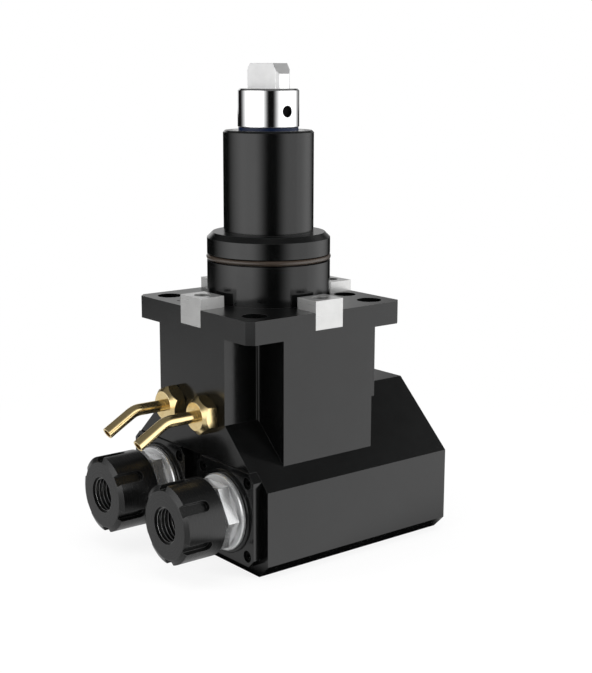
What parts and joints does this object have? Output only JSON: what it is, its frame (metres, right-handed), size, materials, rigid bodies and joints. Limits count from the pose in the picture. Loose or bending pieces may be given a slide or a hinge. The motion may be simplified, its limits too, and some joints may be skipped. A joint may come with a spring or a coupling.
{
  "type": "live tool holder",
  "caption": "Radial live tool holder for a lathe turret: flanged block with a tang-driven shank, geared collet spindles side by side and swivelling coolant nozzles.",
  "frame": {"origin": "on the shank axis in the plane of the flange's mounting face, the centre of its bolt pattern", "axes": "+Z along the shank towards the drive tang, both spindles point along -Y, +X towards the right spindle seen from the front"},
  "size_m": [0.1002, 0.145, 0.2132],
  "materials": {
    "collar_pin": "ground alloy steel",
    "collet_left": "ground alloy steel",
    "collet_nut_left": "black-oxide turned steel",
    "collet_nut_right": "black-oxide turned steel",
    "collet_right": "ground alloy steel",
    "drive_collar": "polished hardened steel",
    "drive_tang": "fine ground hardened steel",
    "front_cover_left": "glossy black-oxide finish on ground steel",
    "front_cover_right": "glossy black-oxide finish on ground steel",
    "front_cover_screws": "black-oxide socket screws",
    "front_inner_races_left": "ground bearing steel",
    "front_inner_races_right": "ground bearing steel",
    "front_outer_races_left": "ground bearing steel",
    "front_outer_races_right": "ground bearing steel",
    "gear_lock_nut_left": "ground alloy steel",
    "gear_lock_nut_right": "ground alloy steel",
    "housing": "glossy black-oxide finish on ground steel",
    "idler_bevel_gear": "case-hardened ground gear steel",
    "idler_front_sleeve": "ground alloy steel",
    "idler_inner_races": "ground bearing steel",
    "idler_outer_races": "ground bearing steel",
    "idler_rear_sleeve": "ground alloy steel",
    "idler_shaft": "ground alloy steel",
    "idler_spur_gear": "case-hardened ground gear steel",
    "inner_spacer_sleeve": "ground alloy steel",
    "input_inner_races": "ground bearing steel",
    "input_outer_races": "ground bearing steel",
    "input_shaft": "ground alloy steel",
    "key_screws": "black-oxide socket screws",
    "locating_keys": "fine ground hardened steel",
    "neck_retaining_ring": "ground alloy steel",
    "neck_seal": "dark blue rubber lip seal",
    "nozzle_body_left": "bright turned brass",
    "nozzle_body_right": "bright turned brass",
    "nozzle_tube_left": "bright turned brass",
    "nozzle_tube_right": "bright turned brass",
    "outer_spacer_sleeve": "ground alloy steel",
    "pilot_o_ring": "brown fluoro rubber",
    "rear_cover": "glossy black-oxide finish on ground steel",
    "rear_cover_screws": "black-oxide socket screws",
    "rear_gallery_plug": "bright turned brass",
    "rear_inner_race_left": "ground bearing steel",
    "rear_inner_race_right": "ground bearing steel",
    "rear_outer_race_left": "ground bearing steel",
    "rear_outer_race_right": "ground bearing steel",
    "side_gallery_plug": "bright turned brass",
    "spindle_gear_left": "case-hardened ground gear steel",
    "spindle_gear_right": "case-hardened ground gear steel",
    "spindle_left": "polished hardened steel",
    "spindle_right": "polished hardened steel",
    "spindle_seal_left": "black rubber lip seal",
    "spindle_seal_right": "black rubber lip seal",
    "spindle_sleeve_left": "ground alloy steel",
    "spindle_sleeve_right": "ground alloy steel"
  },
  "bodies": {
    "holder": {"front_cover_left": "front_cover_left", "front_cover_right": "front_cover_right", "front_cover_screws": "front_cover_screws", "front_outer_races_left": "front_outer_races_left", "front_outer_races_right": "front_outer_races_right", "housing": "housing", "idler_outer_races": "idler_outer_races", "input_outer_races": "input_outer_races", "key_screws": "key_screws", "locating_keys": "locating_keys", "neck_retaining_ring": "neck_retaining_ring", "neck_seal": "neck_seal", "nozzle_body_left": "nozzle_body_left", "nozzle_body_right": "nozzle_body_right", "outer_spacer_sleeve": "outer_spacer_sleeve", "pilot_o_ring": "pilot_o_ring", "rear_cover": "rear_cover", "rear_cover_screws": "rear_cover_screws", "rear_gallery_plug": "rear_gallery_plug", "rear_outer_race_left": "rear_outer_race_left", "rear_outer_race_right": "rear_outer_race_right", "side_gallery_plug": "side_gallery_plug", "spindle_seal_left": "spindle_seal_left", "spindle_seal_right": "spindle_seal_right"},
    "input_drive": {"collar_pin": "collar_pin", "drive_collar": "drive_collar", "drive_tang": "drive_tang", "inner_spacer_sleeve": "inner_spacer_sleeve", "input_inner_races": "input_inner_races", "input_shaft": "input_shaft"},
    "idler": {"idler_bevel_gear": "idler_bevel_gear", "idler_front_sleeve": "idler_front_sleeve", "idler_inner_races": "idler_inner_races", "idler_rear_sleeve": "idler_rear_sleeve", "idler_shaft": "idler_shaft", "idler_spur_gear": "idler_spur_gear"},
    "spindle_right": {"collet_nut_right": "collet_nut_right", "collet_right": "collet_right", "front_inner_races_right": "front_inner_races_right", "gear_lock_nut_right": "gear_lock_nut_right", "rear_inner_race_right": "rear_inner_race_right", "spindle_gear_right": "spindle_gear_right", "spindle_right": "spindle_right", "spindle_sleeve_right": "spindle_sleeve_right"},
    "spindle_left": {"collet_left": "collet_left", "collet_nut_left": "collet_nut_left", "front_inner_races_left": "front_inner_races_left", "gear_lock_nut_left": "gear_lock_nut_left", "rear_inner_race_left": "rear_inner_race_left", "spindle_gear_left": "spindle_gear_left", "spindle_left": "spindle_left", "spindle_sleeve_left": "spindle_sleeve_left"},
    "nozzle_tube_right": {"nozzle_tube_right": "nozzle_tube_right"},
    "nozzle_tube_left": {"nozzle_tube_left": "nozzle_tube_left"}
  },
  "joints": [
    {"name": "input_spin", "type": "hinge", "parent": "holder", "child": "input_drive", "pos_m": [0, 0, 0], "axis": [0, 0, 1], "continuous": true},
    {"name": "idler_spin", "type": "hinge", "parent": "holder", "child": "idler", "pos_m": [0, 0, -0.06333], "axis": [0, 1, 0], "continuous": true},
    {"name": "right_spindle_spin", "type": "hinge", "parent": "holder", "child": "spindle_right", "pos_m": [0.0254, 0, -0.0844], "axis": [0, 1, 0], "continuous": true},
    {"name": "left_spindle_spin", "type": "hinge", "parent": "holder", "child": "spindle_left", "pos_m": [-0.0254, 0, -0.0844], "axis": [0, 1, 0], "continuous": true},
    {"name": "right_nozzle_swivel", "type": "hinge", "parent": "holder", "child": "nozzle_tube_right", "pos_m": [0.0123, -0.045, -0.0446], "axis": [0, 1, 0], "continuous": true},
    {"name": "left_nozzle_swivel", "type": "hinge", "parent": "holder", "child": "nozzle_tube_left", "pos_m": [-0.0123, -0.045, -0.0446], "axis": [0, 1, 0], "continuous": true}
  ],
  "couplings": [
    {"joint": "idler_spin", "follows": "input_spin", "ratio": 1},
    {"joint": "right_spindle_spin", "follows": "input_spin", "ratio": -1},
    {"joint": "left_spindle_spin", "follows": "input_spin", "ratio": -1}
  ]
}
